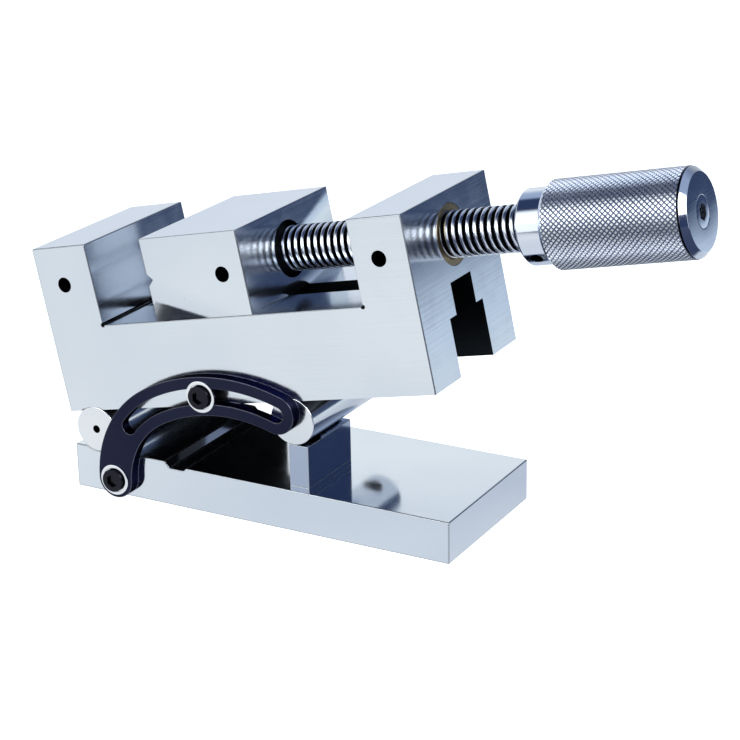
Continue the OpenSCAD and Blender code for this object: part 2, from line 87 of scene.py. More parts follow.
class Nodes:
    """Adds nodes to a tree and joins their sockets, so that a tree reads like a formula."""

    def __init__(self, tree):
        self.tree = tree

    def add(self, kind, inputs=None, **settings):
        node = self.tree.nodes.new(kind)
        for key, value in settings.items():
            setattr(node, key, value)
        for key, value in (inputs or {}).items():
            self.feed(node.inputs[key], value)
        return node

    def feed(self, socket, value):
        if isinstance(value, bpy.types.NodeSocket):
            self.tree.links.new(value, socket)
        else:
            socket.default_value = value

    def math(self, operation, *values):
        node = self.add("ShaderNodeMath", operation=operation)
        for socket, value in zip(node.inputs, values):
            self.feed(socket, value)
        return node.outputs[0]

    def plus(self, first, second):
        return self.math("ADD", first, second)

    def minus(self, first, second):
        return self.math("SUBTRACT", first, second)

    def times(self, first, second):
        return self.math("MULTIPLY", first, second)

    def over(self, first, second):
        return self.math("DIVIDE", first, second)

    def vector(self, operation, *values):
        node = self.add("ShaderNodeVectorMath", operation=operation)
        for socket, value in zip(node.inputs, values):
            self.feed(socket, value)
        return node.outputs[0]

    def xyz(self, x, y, z):
        return self.add("ShaderNodeCombineXYZ", {"X": x, "Y": y, "Z": z}).outputs[0]

    def split(self, vector):
        return self.add("ShaderNodeSeparateXYZ", {0: vector}).outputs

    def spread(self, value, low, high, to_low=0.0, to_high=1.0):
        """Maps low to high onto to_low to to_high, and stops there."""
        return self.add("ShaderNodeMapRange", {
            "Value": value, "From Min": low, "From Max": high, "To Min": to_low, "To Max": to_high,
        }).outputs[0]

    def along(self, vector, way):
        """How far a vector reaches that way."""
        return self.add("ShaderNodeVectorMath", {0: vector, 1: way},
                        operation="DOT_PRODUCT").outputs["Value"]

    def ramp(self, value, stops):
        """The colour of a value from 0 to 1, through stops of (value, colour)."""
        node = self.add("ShaderNodeValToRGB", {"Fac": value})
        while len(node.color_ramp.elements) < len(stops):
            node.color_ramp.elements.new(0.5)
        for element, (position, colour) in zip(node.color_ramp.elements, stops):
            element.position, element.color = position, (*colour, 1.0)
        return node.outputs[0]

    def noise(self, vector, scale, detail=2.0):
        return self.add("ShaderNodeTexNoise", {
            "Vector": vector, "Scale": scale, "Detail": detail, "Roughness": 0.55,
        }).outputs[0]

    def blend(self, factor, first, second):
        return self.add("ShaderNodeMix", {0: factor, 6: first, 7: second}, data_type="RGBA").outputs[2]

    def pick(self, index, values):
        """The value that belongs to a whole-number index."""
        node = self.add("GeometryNodeIndexSwitch", {"Index": index}, data_type="FLOAT")
        while len(node.index_switch_items) < len(values):
            node.index_switch_items.new()
        for socket, value in zip(node.inputs[1:], values):
            self.feed(socket, value)
        return node.outputs[0]

    def sheet(self, rows, columns):
        """A grid of rows and columns of points, with each point's row and column."""
        grid = self.add("GeometryNodeMeshGrid", {"Vertices X": rows, "Vertices Y": columns})
        index = self.add("GeometryNodeInputIndex").outputs[0]
        row = self.math("FLOOR", self.over(self.plus(index, 0.5), columns))
        column = self.minus(index, self.times(row, columns))
        return grid.outputs["Mesh"], row, column

    def rolled(self, mesh, x, radius, turns):
        """Rolls points round the X axis, from the top towards the front."""
        angle = self.times(turns, math.tau)
        y = self.times(self.times(radius, -1.0), self.math("SINE", angle))
        z = self.times(radius, self.math("COSINE", angle))
        moved = self.add("GeometryNodeSetPosition", {"Geometry": mesh, "Position": self.xyz(x, y, z)})
        return self.add("GeometryNodeMergeByDistance", {
            "Geometry": moved.outputs[0], "Distance": 0.001 * MM}).outputs[0]

    def coated(self, mesh, material):
        """Turns instances into plain mesh and gives it its material."""
        plain = self.add("GeometryNodeRealizeInstances", {"Geometry": mesh})
        return self.add("GeometryNodeSetMaterial", {
            "Geometry": plain.outputs[0], "Material": material}).outputs[0]

    def coated_twice(self, mesh, material, radius, low_material):
        """Gives a mesh its material, and another to what lies nearer the X axis than a radius."""
        coated = self.coated(mesh, material)
        place = self.split(self.add("GeometryNodeInputPosition").outputs[0])
        from_axis = self.math("SQRT", self.plus(self.math("POWER", place[1], 2.0),
                                                self.math("POWER", place[2], 2.0)))
        low = self.math("LESS_THAN", from_axis, radius)
        return self.add("GeometryNodeSetMaterial", {
            "Geometry": coated, "Selection": low, "Material": low_material}).outputs[0]


def new_group(kind, name, inputs, outputs):
    """A node group with named sockets. Gives back its Nodes, what it is given, and its output node."""
    tree = bpy.data.node_groups.new(name, kind)
    for label, socket, default in inputs:
        made = tree.interface.new_socket(label, in_out="INPUT", socket_type="NodeSocket" + socket)
        if default is not None:
            made.default_value = default
    for label, socket in outputs:
        tree.interface.new_socket(label, in_out="OUTPUT", socket_type="NodeSocket" + socket)
    nodes = Nodes(tree)
    return nodes, nodes.add("NodeGroupInput").outputs, nodes.add("NodeGroupOutput").inputs


def once(kind, name, build):
    """The node group of that name, built the first time it is asked for."""
    return bpy.data.node_groups.get(name) or build(kind, name)


# ---- what the finishes share ----

def grinding_group(kind, name):
    """Fine straight marks left by the grinding wheel: along the piece, and across it on its ends."""
    n, given, out = new_group(kind, name, [
        ("Vector", "Vector", None), ("Normal", "Vector", None), ("Tilt", "Float", 0.0),
        ("Lines per metre", "Float", 2600.0), ("Breaks per metre", "Float", 14.0),
    ], [("Marks", "Float"), ("Height", "Float")])
    turned = [n.add("ShaderNodeVectorRotate", {"Vector": given[key], "Angle": given["Tilt"]},
                    rotation_type="Y_AXIS").outputs[0] for key in ("Vector", "Normal")]
    fine, long = given["Lines per metre"], given["Breaks per metre"]
    lengthwise = n.noise(n.vector("MULTIPLY", turned[0], n.xyz(long, fine, fine)), 1.0, 3.0)
    crosswise = n.noise(n.vector("MULTIPLY", turned[0], n.xyz(fine, long, fine)), 1.0, 3.0)
    on_end = n.math("GREATER_THAN", n.math("ABSOLUTE", n.split(turned[1])[0]), 0.7)
    marks = n.add("ShaderNodeMix", {0: on_end, 2: lengthwise, 3: crosswise}, data_type="FLOAT").outputs[0]
    n.feed(out["Marks"], n.spread(marks, 0.3, 0.7))
    n.feed(out["Height"], marks)
    return n.tree


def handling_group(kind, name):
    """Soft cloudy tone from wiping and oil, and a few tiny pits and nicks."""
    n, given, out = new_group(kind, name, [
        ("Vector", "Vector", None), ("Clouds per metre", "Float", 14.0), ("Pits per metre", "Float", 75.0),
    ], [("Clouds", "Float"), ("Pits", "Float"), ("Smears", "Float")])
    n.feed(out["Clouds"], n.spread(n.noise(given["Vector"], given["Clouds per metre"], 1.5), 0.3, 0.7))
    cells = n.add("ShaderNodeTexVoronoi", {"Vector": given["Vector"], "Scale": given["Pits per metre"]})
    size = n.times(n.split(cells.outputs["Color"])[0], 0.02)
    n.feed(out["Pits"], n.math("LESS_THAN", cells.outputs["Distance"], size))
    n.feed(out["Smears"], n.spread(n.noise(given["Vector"], 90.0, 5.0), 0.45, 0.75))
    return n.tree


LINED, NICKED = 0.82, 0.25      # brightness of grinding marks and of nicks, against the metal round them


def metal(name, colour, second, roughness, tilt=0.0, lines=2600.0, marks=0.06, clouds=0.5, pits=0.5,
          relief=0.03, rim=1.0):
    """A metal with grinding marks, cloudy tone and small nicks. Marks is how far they change roughness,
    clouds how far the tone leans to the second colour, relief the height of the marks in mm, and rim how
    bright it gets where it is seen nearly edge on. The frame's own materials have the slots' names, so the
    names of these start with finish_."""
    found = bpy.data.materials.get("finish_" + name)
    if found:
        return found
    material = bpy.data.materials.new("finish_" + name)
    material.use_nodes = True
    material.diffuse_color = (*colour, 1.0)
    n = Nodes(material.node_tree)
    shader = material.node_tree.nodes["Principled BSDF"]
    place = n.add("ShaderNodeTexCoord").outputs
    ground = n.add("ShaderNodeGroup", node_tree=once("ShaderNodeTree", "Grinding", grinding_group))
    handled = n.add("ShaderNodeGroup", node_tree=once("ShaderNodeTree", "Handling", handling_group))
    for socket, value in (("Vector", place["Object"]), ("Normal", place["Normal"]), ("Tilt", tilt),
                          ("Lines per metre", lines)):
        n.feed(ground.inputs[socket], value)
    n.feed(handled.inputs["Vector"], place["Object"])
    tone = n.times(handled.outputs["Clouds"], clouds)
    base = n.blend(tone, (*colour, 1.0), (*second, 1.0))
    lined = n.blend(n.times(ground.outputs["Marks"], min(1.0, marks * 2.0)), base,
                    (*[c * LINED for c in colour], 1.0))
    nicked = n.blend(n.times(handled.outputs["Pits"], pits), lined,
                     (*[c * NICKED for c in colour], 1.0))
    n.feed(shader.inputs["Base Color"], nicked)
    rough = n.plus(roughness - marks / 2, n.times(ground.outputs["Marks"], marks))
    rough = n.plus(rough, n.times(handled.outputs["Smears"], 0.05))
    n.feed(shader.inputs["Roughness"], n.math("MAXIMUM", rough, 0.04))
    bump = n.add("ShaderNodeBump", {
        "Strength": 0.5, "Distance": relief * MM, "Height": ground.outputs["Height"]})
    n.feed(shader.inputs["Normal"], bump.outputs[0])
    shader.inputs["Metallic"].default_value = 1.0
    shader.inputs["Specular Tint"].default_value = (rim, rim, rim, 1.0)
    return material


# ---- finishes ----

def ground_steel(tilt=TILT):
    """Satin surface ground steel of the vise body and jaws."""
    colours = bpy.context.scene.vise_colours
    return metal("ground_steel" if tilt else "ground_steel_level", colours.steel, colours.steel_shade,
                 roughness=0.15, tilt=tilt, marks=0.08, clouds=0.6, relief=0.006)


def shaded_edge_steel():
    """Broken edges of the ground pieces, their colour darkened as a painted dark reflection, with small
    nicks.
    """
    colours = bpy.context.scene.vise_colours
    return metal("shaded_edge_steel", [c * 0.45 for c in colours.steel], colours.steel_shade,
                 roughness=0.28, marks=0.1, clouds=0.4, pits=0.8, relief=0.01)


def painted_shade_steel():
    """Milled steel, painted nearly black for the shade inside slots, holes and relief grooves and under the
    vise.
    """
    return metal("painted_shade_steel", (0.014, 0.016, 0.02), (0.006, 0.007, 0.008), roughness=0.45, tilt=TILT,
                 lines=900.0, marks=0.2, clouds=1.0, relief=0.05)


def lapped_steel(tilt=0.0):
    """Near-mirror finish of the base's top."""
    colours = bpy.context.scene.vise_colours
    return metal("lapped_steel", colours.steel, colours.steel_shade, roughness=0.09, tilt=tilt,
                 lines=3600.0, marks=0.06, clouds=0.5, relief=0.004)


def roller_steel():
    """Hard ground rollers with cloudy end faces."""
    return metal("roller_steel", (0.9, 0.92, 0.94), (0.68, 0.72, 0.78), roughness=0.16, marks=0.1,
                 clouds=0.9, relief=0.006)


def thread_steel():
    """Bright rolled crests of the lead screw."""
    return metal("thread_steel", (0.82, 0.85, 0.92), (0.60, 0.66, 0.76), roughness=0.2, tilt=TILT,
                 lines=1500.0, marks=0.08, clouds=0.5, relief=0.006)


def thread_root_shade_steel():
    """Bottom of the thread, painted dark for the shade in its groove."""
    return metal("thread_root_shade_steel", (0.02, 0.022, 0.03), (0.008, 0.008, 0.012), roughness=0.35,
                 marks=0.1, clouds=1.0, relief=0.01)


def handle_steel():
    """Polished collar, rim and end face of the handle."""
    return metal("handle_steel", (0.78, 0.82, 0.9), (0.62, 0.68, 0.8), roughness=0.09, tilt=TILT,
                 lines=1800.0, marks=0.05, clouds=0.6, relief=0.003)


def knurl_steel():
    """Bright cut diamonds of the knurl."""
    return metal("knurl_steel", (0.93, 0.93, 0.93), (0.74, 0.77, 0.82), roughness=0.3, tilt=TILT,
                 lines=1500.0, marks=0.1, clouds=0.7, relief=0.008)


def flank_shade_steel():
    """Flanks between the diamonds, painted greyer for the shade between them."""
    return metal("flank_shade_steel", (0.44, 0.48, 0.56), (0.26, 0.30, 0.40), roughness=0.3, tilt=TILT,
                 lines=1500.0, marks=0.1, clouds=0.9, relief=0.008)


def gauge_steel():
    """Fine lapped gauge blocks."""
    return metal("gauge_steel", (0.47, 0.53, 0.66), (0.40, 0.46, 0.58), roughness=0.1, lines=4200.0,
                 marks=0.04, clouds=0.5, relief=0.003)


def blued_steel():
    """Deep blue-black finish of the link."""
    colours = bpy.context.scene.vise_colours
    return metal("blued_steel", colours.blued, colours.blued_shade, roughness=0.34, lines=900.0,
                 marks=0.1, clouds=0.9, pits=0.25, relief=0.01, rim=0.12)


def blued_edge():
    """Edges of the link, in a lighter blue-grey than the blueing."""
    return metal("blued_edge", (0.12, 0.12, 0.16), (0.05, 0.05, 0.09), roughness=0.25, marks=0.1,
                 clouds=0.9, relief=0.01)


def black_oxide():
    """Black socket head screws."""
    return metal("black_oxide", (0.022, 0.022, 0.028), (0.05, 0.05, 0.065), roughness=0.2,
                 lines=1200.0, marks=0.08, clouds=0.7, relief=0.008, rim=0.3)


def washer_steel():
    """Bright turned cup washers."""
    return metal("washer_steel", (0.93, 0.94, 0.96), (0.75, 0.78, 0.84), roughness=0.12, lines=1600.0,
                 marks=0.08, clouds=0.5, relief=0.004)


def plain_steel():
    """Milled steel of the pieces under the vise."""
    return metal("plain_steel", (0.3, 0.32, 0.36), (0.2, 0.22, 0.26), roughness=0.36, tilt=TILT,
                 lines=1100.0, marks=0.15, clouds=0.7, relief=0.02)


def nut_bronze():
    """Olive bronze of the nut's end."""
    colours = bpy.context.scene.vise_colours
    return metal("nut_bronze", colours.bronze, [c * 0.62 for c in colours.bronze], roughness=0.3,
                 lines=1400.0, marks=0.12, clouds=0.8, relief=0.01)


# ---- making meshes ----

def copy_of(node, name):
    """A clean copy of a CAD node's mesh, its doubles merged and its flat faces joined."""
    source = frame["nodes"][node].data
    mesh = bpy.data.meshes.new(name)
    mesh.from_pydata([v.co for v in source.vertices], [], [tuple(p.vertices) for p in source.polygons])
    form = bmesh.new()
    form.from_mesh(mesh)
    bmesh.ops.remove_doubles(form, verts=form.verts, dist=0.001 * MM)
    bmesh.ops.dissolve_limit(form, angle_limit=math.radians(0.5), verts=form.verts, edges=form.edges)
    form.to_mesh(mesh)
    form.free()
    return mesh


def paint_recess_shade(mesh, reach, small=0.0, also=None):
    """Paints shade on the walls of slots, holes and small grooves by giving them the steel painted dark. A
    wall is a face that looks at another one within reach, or a face smaller than small that lies along none
    of the main axes, or one for whose centre and direction, in the vise's own directions, the also test
    holds."""
    tree = BVHTree.FromPolygons([v.co for v in mesh.vertices], [tuple(p.vertices) for p in mesh.polygons])
    back = OWN.inverted()
    for face in mesh.polygons:
        hit = tree.ray_cast(face.center + face.normal * 0.01 * MM, face.normal, reach)[0]
        looks = back.to_3x3() @ face.normal
        slanted = max(abs(c) for c in looks) < 0.99
        more = also is not None and also(back @ face.center, looks)
        if hit is not None or (face.area < small and slanted) or more:
            face.material_index = PAINTED_SHADE_INDEX


def lathe(name, profile, steps):
    """A surface turned about X through points of (x, radius). Radius 0 closes it with a pole."""
    form = bmesh.new()
    rings = []
    for x, radius in profile:
        if radius == 0:
            rings.append([form.verts.new((x, 0, 0))] * steps)
            continue
        angles = [math.tau * k / steps for k in range(steps)]
        rings.append([form.verts.new((x, -radius * math.sin(a), radius * math.cos(a))) for a in angles])
    for near, far in zip(rings, rings[1:]):
        for k in range(steps):
            after = (k + 1) % steps
            form.faces.new(dict.fromkeys((near[k], far[k], far[after], near[after])))
    bmesh.ops.recalc_face_normals(form, faces=form.faces)
    mesh = bpy.data.meshes.new(name)
    form.to_mesh(mesh)
    form.free()
    return mesh


def eased(points, radius):
    """The same outline with every corner between its two ends rounded."""
    made = [points[0]]
    for before, corner, after in zip(points, points[1:], points[2:]):
        before, corner, after = Vector(before), Vector(corner), Vector(after)
        cut_back = min(radius, (before - corner).length * 0.45, (after - corner).length * 0.45)
        start = corner + (before - corner).normalized() * cut_back
        end = corner + (after - corner).normalized() * cut_back
        made += [tuple(start), tuple((start + corner * 2 + end) / 4), tuple(end)]
    return made + [points[-1]]


def welded(name, parts):
    """One mesh made of several, its seams closed."""
    form = bmesh.new()
    for part in parts:
        form.from_mesh(part)
    bmesh.ops.remove_doubles(form, verts=form.verts, dist=0.004 * MM)
    bmesh.ops.recalc_face_normals(form, faces=form.faces)
    mesh = bpy.data.meshes.new(name)
    form.to_mesh(mesh)
    form.free()
    return mesh


def evaluated(carrier):
    """What an object's modifiers make of it, as a plain mesh. The object and its modifiers are removed."""
    graph = bpy.context.evaluated_depsgraph_get()
    mesh = bpy.data.meshes.new_from_object(carrier.evaluated_get(graph), depsgraph=graph)
    carrier.modifiers.clear()
    bpy.data.objects.remove(carrier)
    return mesh


def dress(mesh, materials):
    """Gives a mesh its materials. Its faces keep their own indices."""
    indices = [face.material_index for face in mesh.polygons]
    mesh.materials.clear()
    for material in materials:
        mesh.materials.append(material)
    mesh.polygons.foreach_set("material_index", indices)


def shown(name, data):
    """A new object in the scene."""
    made = bpy.data.objects.new(name, data)
    bpy.context.scene.collection.objects.link(made)
    return made


def cut(mesh, tool, materials, index):
    """Takes a closed tool out of a closed mesh. The walls it leaves get the material of that index."""
    for part in (mesh, tool):
        dress(part, materials)
    for face in tool.polygons:
        face.material_index = index
    body, cutter = shown("body", mesh), shown("cutter", tool)
    boolean = body.modifiers.new("Cut", "BOOLEAN")
    boolean.operation, boolean.solver, boolean.object = "DIFFERENCE", "EXACT", cutter
    made = evaluated(body)
    bpy.data.objects.remove(cutter)
    return made


def grown(tree, values, points=()):
    """Runs a geometry tree once on some points and gives back its plain mesh. Its faces count only the
    materials that the tree sets."""
    mesh = bpy.data.meshes.new(tree.name)
    mesh.from_pydata(list(points), [], [])
    carrier = shown(tree.name, mesh)
    modifier = carrier.modifiers.new(tree.name, "NODES")
    modifier.node_group = tree
    for item in tree.interface.items_tree:
        if item.in_out == "INPUT" and item.name in values:
            modifier[item.identifier] = values[item.name]
    made = evaluated(carrier)
    empty = sum(1 for material in made.materials if material is None)
    for face in made.polygons:
        face.material_index = max(0, face.material_index - empty)
    return made


def mark_edges(mesh):
    """Marks the corners to be broken, and keeps those of recesses sharp."""
    form = bmesh.new()
    form.from_mesh(mesh)
    weight = form.edges.layers.float.new("bevel_weight_edge")
    for edge in form.edges:
        if edge.calc_face_angle(0.0) < BROKEN:
            continue
        outside = all(face.material_index == 0 for face in edge.link_faces)
        edge[weight] = 1.0 if outside else 0.0
        edge.smooth = outside
    form.to_mesh(mesh)
    form.free()


def placed(name, mesh, body, nodes, materials, bevel=0.0, smooth=30.0):
    """Puts a finished mesh on its body in place of its CAD nodes. Bevel breaks its corners, in mm, with the
    last material; without it, corners over the smooth angle stay sharp."""
    dress(mesh, materials)
    piece = shown(name, mesh)
    mesh.shade_smooth()
    if bevel:
        mark_edges(mesh)
        edges = piece.modifiers.new("Broken edges", "BEVEL")
        edges.width, edges.segments, edges.limit_method = bevel * MM, 2, "WEIGHT"
        edges.use_clamp_overlap = False
        edges.material = len(materials) - 1
    else:
        mesh.set_sharp_from_angle(angle=math.radians(smooth))
    flat = piece.modifiers.new("Flat faces", "WEIGHTED_NORMAL")
    flat.weight, flat.keep_sharp = 90, True
    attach(piece, body)
    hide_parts(*nodes)


# ---- trees for what repeats ----

def thread_tree(kind, name):
    """A right-hand thread as one closed skin: rows follow the helix, and both ends run out to the core.
    Each row lies at a share of the pitch, at a share of the depth."""
    rows = ((0.0, 0.0), (0.19, 0.0), (0.25, 0.72), (0.29, 0.95), (0.34, 1.0), (0.5, 1.0), (0.66, 1.0),
            (0.71, 0.95), (0.75, 0.72), (0.81, 0.0))
    n, given, out = new_group(kind, name, [
        ("Start", "Float", 0.0), ("End", "Float", 0.1), ("Core Radius", "Float", 0.008),
        ("Depth", "Float", 0.0016), ("Pitch", "Float", 0.003), ("Steps", "Int", 96),
        ("Material", "Material", None), ("Root Shade Material", "Material", None),
    ], [("Geometry", "Geometry")])
    length = n.minus(given["End"], given["Start"])
    turns = n.plus(n.math("CEIL", n.over(length, given["Pitch"])), 1.0)
    row_count = n.plus(n.times(turns, len(rows)), 1.0)
    mesh, row, column = n.sheet(row_count, n.plus(given["Steps"], 1.0))
    turn = n.math("FLOOR", n.over(n.plus(row, 0.5), len(rows)))
    point = n.minus(row, n.times(turn, len(rows)))
    share = n.pick(point, [a for a, b in rows])
    height = n.times(n.pick(point, [b for a, b in rows]), given["Depth"])
    around = n.over(column, given["Steps"])
    pitches = n.plus(n.plus(turn, share), n.minus(around, 1.0))
    x = n.plus(given["Start"], n.times(pitches, given["Pitch"]))
    from_start = n.math("MAXIMUM", n.minus(x, given["Start"]), 0.0)
    from_end = n.math("MAXIMUM", n.minus(given["End"], x), 0.0)
    height = n.math("MINIMUM", height, n.math("MINIMUM", from_start, from_end))
    x = n.math("MINIMUM", n.math("MAXIMUM", x, given["Start"]), given["End"])
    skin = n.rolled(mesh, x, n.plus(given["Core Radius"], height), around)
    # Points below 0.6 of the depth take the second material, painted dark for the shade between the crests.
    low = n.plus(given["Core Radius"], n.times(given["Depth"], 0.6))
    n.feed(out["Geometry"], n.coated_twice(skin, given["Material"], low, given["Root Shade Material"]))
    return n.tree


def knurl_tree(kind, name):
    """A diamond knurl: small flat-topped teeth laid out flat in two sets of rows, then rolled up."""
    n, given, out = new_group(kind, name, [
        ("Start", "Float", 0.0), ("End", "Float", 0.05), ("Radius", "Float", 0.017),
        ("Depth", "Float", 0.0005), ("Flat", "Float", 0.3), ("Around", "Int", 56), ("Rows", "Int", 56),
        ("Material", "Material", None), ("Flank Shade Material", "Material", None),
    ], [("Geometry", "Geometry")])
    tooth = n.add("GeometryNodeMeshCone", {
        "Vertices": 4, "Radius Top": given["Flat"], "Radius Bottom": 1.0, "Depth": 1.0})
    skin = n.add("GeometryNodeDeleteGeometry", {
        "Geometry": tooth.outputs["Mesh"], "Selection": tooth.outputs["Bottom"]}, domain="FACE")
    length = n.minus(given["End"], given["Start"])
    step = n.over(length, n.minus(given["Rows"], 1.0))
    shaped = n.add("GeometryNodeTransform", {
        "Geometry": skin.outputs[0], "Scale": n.xyz(step, 0.5, given["Depth"])})
    mesh, row, column = n.sheet(given["Rows"], given["Around"])
    shift = n.times(n.math("MODULO", row, 2.0), 0.5)
    centre = n.xyz(n.plus(given["Start"], n.times(row, step)), n.plus(column, shift), 0.0)
    laid = n.add("GeometryNodeSetPosition", {"Geometry": mesh, "Position": centre})
    teeth = n.add("GeometryNodeInstanceOnPoints", {
        "Points": laid.outputs[0], "Instance": shaped.outputs[0]})
    flat = n.add("GeometryNodeRealizeInstances", {"Geometry": teeth.outputs[0]})
    place = n.split(n.add("GeometryNodeInputPosition").outputs[0])
    x = n.math("MINIMUM", n.math("MAXIMUM", place[0], given["Start"]), given["End"])
    radius = n.plus(n.minus(given["Radius"], given["Depth"]), place[2])
    rolled = n.rolled(flat.outputs[0], x, radius, n.over(place[1], given["Around"]))
    # The deep part between the diamonds takes the second material, painted grey for the shade there.
    low = n.minus(given["Radius"], n.times(given["Depth"], 0.25))
    n.feed(out["Geometry"], n.coated_twice(rolled, given["Material"], low, given["Flank Shade Material"]))
    return n.tree


def turned_rows(n, rows, steps, grip=None):
    """A turned surface through rows of (x, radius), each a number or a socket. Grip cuts fine straight
    teeth, of that depth, into the rows whose place is listed with it."""
    mesh, row, column = n.sheet(len(rows), steps + 1)
    x = n.pick(row, [a for a, b in rows])
    radius = n.pick(row, [b for a, b in rows])
    if grip:
        depth, gripped = grip
        here = n.pick(row, [1.0 if k in gripped else 0.0 for k in range(len(rows))])
        odd = n.math("MODULO", column, 2.0)
        radius = n.minus(radius, n.times(n.times(odd, here), depth))
    return n.rolled(mesh, x, radius, n.over(column, float(steps)))


def screw_tree(kind, name):
    """Socket head screws that stand on points, their heads' undersides on the points, pointing along X."""
    n, given, out = new_group(kind, name, [
        ("Geometry", "Geometry", None), ("Head Radius", "Float", 0.005), ("Head Height", "Float", 0.006),
        ("Shank Radius", "Float", 0.003), ("Shank Length", "Float", 0.012), ("Edge", "Float", 0.0004),
        ("Across Flats", "Float", 0.005), ("Socket Depth", "Float", 0.0024), ("Grip", "Float", 0.0001),
        ("Material", "Material", None),
    ], [("Geometry", "Geometry")])
    head, shank, edge = given["Head Radius"], given["Shank Radius"], given["Edge"]
    top = n.times(given["Head Height"], -1.0)
    third = n.times(edge, 0.3)
    rows = [
        (top, 0.0), (top, n.minus(head, edge)),
        (n.plus(top, third), n.minus(head, third)),
        (n.plus(top, edge), head), (n.times(edge, -1.0), head),
        (0.0, n.minus(head, edge)), (0.0, shank),
        (n.minus(given["Shank Length"], edge), shank),
        (given["Shank Length"], n.minus(shank, edge)), (given["Shank Length"], 0.0),
    ]
    blank = turned_rows(n, rows, 72, grip=(given["Grip"], (3, 4)))
    hexagon = n.add("GeometryNodeMeshCylinder", {
        "Vertices": 6, "Radius": n.over(given["Across Flats"], math.sqrt(3)),
        "Depth": n.times(given["Socket Depth"], 2.0)})
    socket = n.add("GeometryNodeTransform", {
        "Geometry": hexagon.outputs["Mesh"], "Translation": n.xyz(top, 0.0, 0.0),
        "Rotation": (0.0, math.pi / 2, 0.0)})
    screw = n.add("GeometryNodeMeshBoolean", {"Mesh 1": blank, "Mesh 2": socket.outputs[0]},
                  operation="DIFFERENCE", solver="EXACT")
    set_out = n.add("GeometryNodeInstanceOnPoints", {
        "Points": given["Geometry"], "Instance": screw.outputs[0]})
    n.feed(out["Geometry"], n.coated(set_out.outputs[0], given["Material"]))
    return n.tree


def washer_tree(kind, name):
    """A turned cup washer, its back on the point, its open cup toward -X."""
    n, given, out = new_group(kind, name, [
        ("Geometry", "Geometry", None), ("Radius", "Float", 0.007), ("Height", "Float", 0.0026),
        ("Bore", "Float", 0.0025), ("Cup Radius", "Float", 0.0053), ("Floor", "Float", 0.0008),
        ("Edge", "Float", 0.0005), ("Material", "Material", None),
    ], [("Geometry", "Geometry")])
    radius, edge, cup = given["Radius"], given["Edge"], given["Cup Radius"]
    top = n.times(given["Height"], -1.0)
    floor = n.times(given["Floor"], -1.0)
    half = n.times(edge, 0.3)
    rows = [
        (0.0, given["Bore"]), (floor, given["Bore"]), (floor, cup),
        (n.plus(top, half), cup), (top, n.plus(cup, half)),
        (top, n.minus(radius, edge)),
        (n.plus(top, half), n.minus(radius, half)),
        (n.plus(top, edge), radius), (n.times(half, -1.0), radius),
        (0.0, n.minus(radius, half)), (0.0, given["Bore"]),
    ]
    set_out = n.add("GeometryNodeInstanceOnPoints", {
        "Points": given["Geometry"], "Instance": turned_rows(n, rows, 72)})
    n.feed(out["Geometry"], n.coated(set_out.outputs[0], given["Material"]))
    return n.tree


# ---- settings ----

class ViseSizes(PropertyGroup):
    """Sizes of edges, thread and knurl, in millimetres."""
    body_edge: FloatProperty(name="Body edge", description="Bevel along the ground pieces' edges, in mm",
                             default=0.5, min=0.05, max=1.0)
    link_edge: FloatProperty(name="Link edge", description="Bevel along the link's edges, in mm",
                             default=0.25, min=0.05, max=1.0)
    roller_edge: FloatProperty(name="Roller edge", description="Bevel at the rollers' ends, in mm",
                               default=0.4, min=0.05, max=1.0)
    gauge_edge: FloatProperty(name="Gauge edge", description="Bevel along the gauge blocks' edges, in mm",
                              default=0.25, min=0.05, max=0.6)
    thread_pitch: FloatProperty(name="Thread pitch", description="Travel for each turn, in mm",
                                default=math.tau / SCREW_RATIO / MM, min=2.0, max=5.0)
    thread_depth: FloatProperty(name="Thread depth", description="Height of the crests, in mm",
                                default=1.6, min=0.5, max=2.2)
    knurl_around: IntProperty(name="Diamonds around", description="Diamonds round the barrel",
                              default=52, min=30, max=90)
    knurl_rows: IntProperty(name="Diamond rows", description="Half rows of diamonds along the barrel",
                            default=50, min=20, max=120)
    knurl_depth: FloatProperty(name="Knurl depth", description="Depth between the diamonds, in mm",
                               default=0.5, min=0.1, max=1.0)
    knurl_flat: FloatProperty(name="Diamond flat", description="Share of a diamond that is flat on top",
                              default=0.58, min=0.05, max=0.8, subtype="FACTOR")


class ViseColours(PropertyGroup):
    """Colours of the finishes."""
    steel: FloatVectorProperty(name="Steel", description="Ground steel", subtype="COLOR",
                               default=(0.80, 0.845, 0.90), min=0.0, max=1.0)
    steel_shade: FloatVectorProperty(name="Steel shade", description="Cloudy tone in the ground steel",
                                     subtype="COLOR", default=(0.66, 0.72, 0.80), min=0.0, max=1.0)
    blued: FloatVectorProperty(name="Blueing", description="The link's dark blue", subtype="COLOR",
                               default=(0.026, 0.029, 0.056), min=0.0, max=1.0)
    blued_shade: FloatVectorProperty(name="Blueing shade", description="Cloudy tone in the blueing",
                                     subtype="COLOR", default=(0.013, 0.014, 0.034), min=0.0, max=1.0)
    bronze: FloatVectorProperty(name="Bronze", description="The nut", subtype="COLOR",
                                default=(0.42, 0.33, 0.19), min=0.0, max=1.0)


